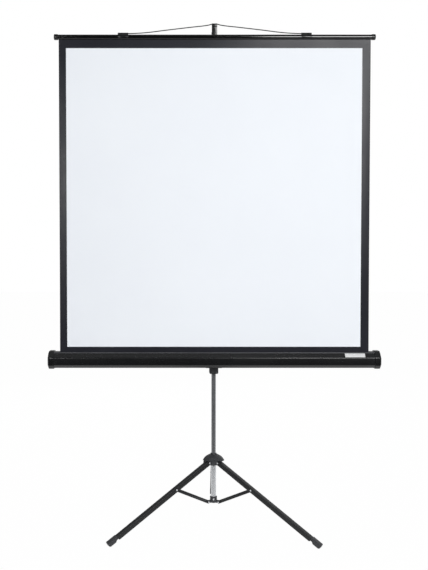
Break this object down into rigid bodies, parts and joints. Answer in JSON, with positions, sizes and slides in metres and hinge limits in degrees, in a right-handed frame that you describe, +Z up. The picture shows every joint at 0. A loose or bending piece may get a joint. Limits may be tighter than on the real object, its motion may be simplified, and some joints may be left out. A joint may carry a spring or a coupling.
{
  "type": "tripod projection screen",
  "caption": "Free-standing projection screen: a spring-roller fabric screen drawn up from a slim case and hung on a telescopic mast with a folding tripod base.",
  "frame": {"origin": "middle of the footprint's bounding box, on the floor", "axes": "+Z up, the picture faces -Y, +X to the picture's right as seen from the audience"},
  "size_m": [1.617, 0.89, 2.4771],
  "materials": {
    "black_plastic": "satin moulded",
    "black_paint": "semi-gloss black enamel",
    "bright_metal": "bright plated",
    "grey_tube": "grey satin",
    "screen_cloth": "matt white with a black printed border",
    "nylon": "dark nylon",
    "white_plate": "blank white"
  },
  "bodies": {
    "mast": {"mast_tube": "grey_tube", "stop_sleeve": "bright_metal", "mast_foot_plug": "black_plastic", "lower_collar": "black_plastic", "collar_rivet": "bright_metal", "mast_top_collar": "black_plastic"},
    "hub": {"tripod_hub": "black_plastic", "hub_pin_left": "bright_metal", "hub_pin_right": "bright_metal", "hub_pin_rear": "bright_metal"},
    "hub_knob": {"hub_lock_knob": "black_plastic"},
    "leg_left": {"leg_left": "black_paint", "foot_left": "black_plastic", "knee_rivet_left": "bright_metal"},
    "leg_right": {"leg_right": "black_paint", "foot_right": "black_plastic", "knee_rivet_right": "bright_metal"},
    "leg_rear": {"leg_rear": "black_paint", "foot_rear": "black_plastic", "knee_rivet_rear": "bright_metal"},
    "brace_left": {"brace_left": "black_paint", "brace_rivet_left": "bright_metal"},
    "brace_right": {"brace_right": "black_paint", "brace_rivet_right": "bright_metal"},
    "brace_rear": {"brace_rear": "black_paint", "brace_rivet_rear": "bright_metal"},
    "bracket": {"mast_bracket": "black_plastic"},
    "bracket_knob": {"bracket_lock_knob": "black_plastic"},
    "case": {"case_shell": "black_paint", "end_cap_left": "black_plastic", "end_cap_right": "black_plastic", "label_plate": "white_plate", "pivot_plate": "black_paint", "pivot_washer": "nylon", "pivot_bolt": "grey_tube", "roller_bearing_left": "grey_tube", "roller_bearing_right": "grey_tube", "spring_shaft": "grey_tube", "roller_spring": "grey_tube", "screen_fabric": "screen_cloth"},
    "roller": {"roller_tube": "grey_tube", "fabric_roll": "screen_cloth", "roller_plug_left": "nylon", "roller_plug_right": "nylon"},
    "bar": {"top_bar": "black_paint", "bar_cap_left": "black_plastic", "bar_cap_right": "black_plastic", "bail_clip_left": "black_plastic", "bail_clip_right": "black_plastic"},
    "bail": {"bail_wire": "grey_tube"},
    "extension": {"extension_tube": "grey_tube", "extension_hook": "black_plastic", "extension_glide": "nylon"},
    "extension_knob": {"extension_lock_knob": "black_plastic"}
  },
  "joints": [
    {"name": "hub_slide", "type": "slide", "parent": "mast", "child": "hub", "axis": [0, 0, -1], "range_m": [-0.2205, 0]},
    {"name": "leg_left_fold", "type": "hinge", "parent": "hub", "child": "leg_left", "pos_m": [-0.02636, -0.1463, 0.328], "axis": [-0.4772, 0.8788, 0], "range_deg": [-59.24, 0]},
    {"name": "leg_right_fold", "type": "hinge", "parent": "hub", "child": "leg_right", "pos_m": [0.02558, -0.14766, 0.328], "axis": [-0.5225, -0.8526, 0], "range_deg": [-59.24, 0]},
    {"name": "leg_rear_fold", "type": "hinge", "parent": "hub", "child": "leg_rear", "pos_m": [0.00079, -0.102, 0.328], "axis": [0.9997, -0.0262, 0], "range_deg": [-59.24, 0]},
    {"name": "brace_left_fold", "type": "hinge", "parent": "leg_left", "child": "brace_left", "pos_m": [-0.18807, -0.2341, 0.2185], "axis": [0.4772, -0.8788, 0], "range_deg": [-123.68, 0]},
    {"name": "brace_right_fold", "type": "hinge", "parent": "leg_right", "child": "brace_right", "pos_m": [0.18246, -0.2438, 0.2185], "axis": [0.5225, 0.8526, 0], "range_deg": [-123.68, 0]},
    {"name": "brace_rear_fold", "type": "hinge", "parent": "leg_rear", "child": "brace_rear", "pos_m": [0.0056, 0.08194, 0.2185], "axis": [-0.9997, 0.0262, 0], "range_deg": [-123.68, 0]},
    {"name": "hub_knob_turn", "type": "hinge", "parent": "hub", "child": "hub_knob", "pos_m": [0, -0.13199, 0.3225], "axis": [-0.7431, 0.6691, 0], "continuous": true},
    {"name": "bracket_slide", "type": "slide", "parent": "mast", "child": "bracket", "axis": [0, 0, 1], "range_m": [-0.15, 0.34]},
    {"name": "bracket_knob_turn", "type": "hinge", "parent": "bracket", "child": "bracket_knob", "pos_m": [0, -0.13199, 0.8492], "axis": [0, 1, 0], "continuous": true},
    {"name": "case_swivel", "type": "hinge", "parent": "bracket", "child": "case", "pos_m": [0, -0.17299, 0.8517], "axis": [0, 1, 0], "range_deg": [-60, 0]},
    {"name": "screen_pull", "type": "slide", "parent": "case", "child": "bar", "axis": [0, 0, 1], "range_m": [-1.5, 0], "deforming": ["screen_fabric"]},
    {"name": "roller_spin", "type": "hinge", "parent": "case", "child": "roller", "pos_m": [0, -0.20399, 0.8487], "axis": [1, 0, 0], "continuous": true},
    {"name": "bail_swing", "type": "hinge", "parent": "bar", "child": "bail", "pos_m": [0, -0.22499, 2.42415], "axis": [-1, 0, 0], "range_deg": [-130, 0]},
    {"name": "extension_slide", "type": "slide", "parent": "mast", "child": "extension", "axis": [0, 0, 1], "range_m": [-1, 0]},
    {"name": "extension_knob_turn", "type": "hinge", "parent": "mast", "child": "extension_knob", "pos_m": [0, -0.13199, 1.31], "axis": [0, 1, 0], "continuous": true}
  ],
  "couplings": [
    {"joint": "leg_left_fold", "follows": "hub_slide", "rad_per_m": 4.6876},
    {"joint": "leg_right_fold", "follows": "hub_slide", "rad_per_m": 4.6876},
    {"joint": "leg_rear_fold", "follows": "hub_slide", "rad_per_m": 4.6876},
    {"joint": "brace_left_fold", "follows": "hub_slide", "rad_per_m": 9.7864},
    {"joint": "brace_right_fold", "follows": "hub_slide", "rad_per_m": 9.7864},
    {"joint": "brace_rear_fold", "follows": "hub_slide", "rad_per_m": 9.7864},
    {"joint": "roller_spin", "follows": "screen_pull", "rad_per_m": -48.31}
  ]
}
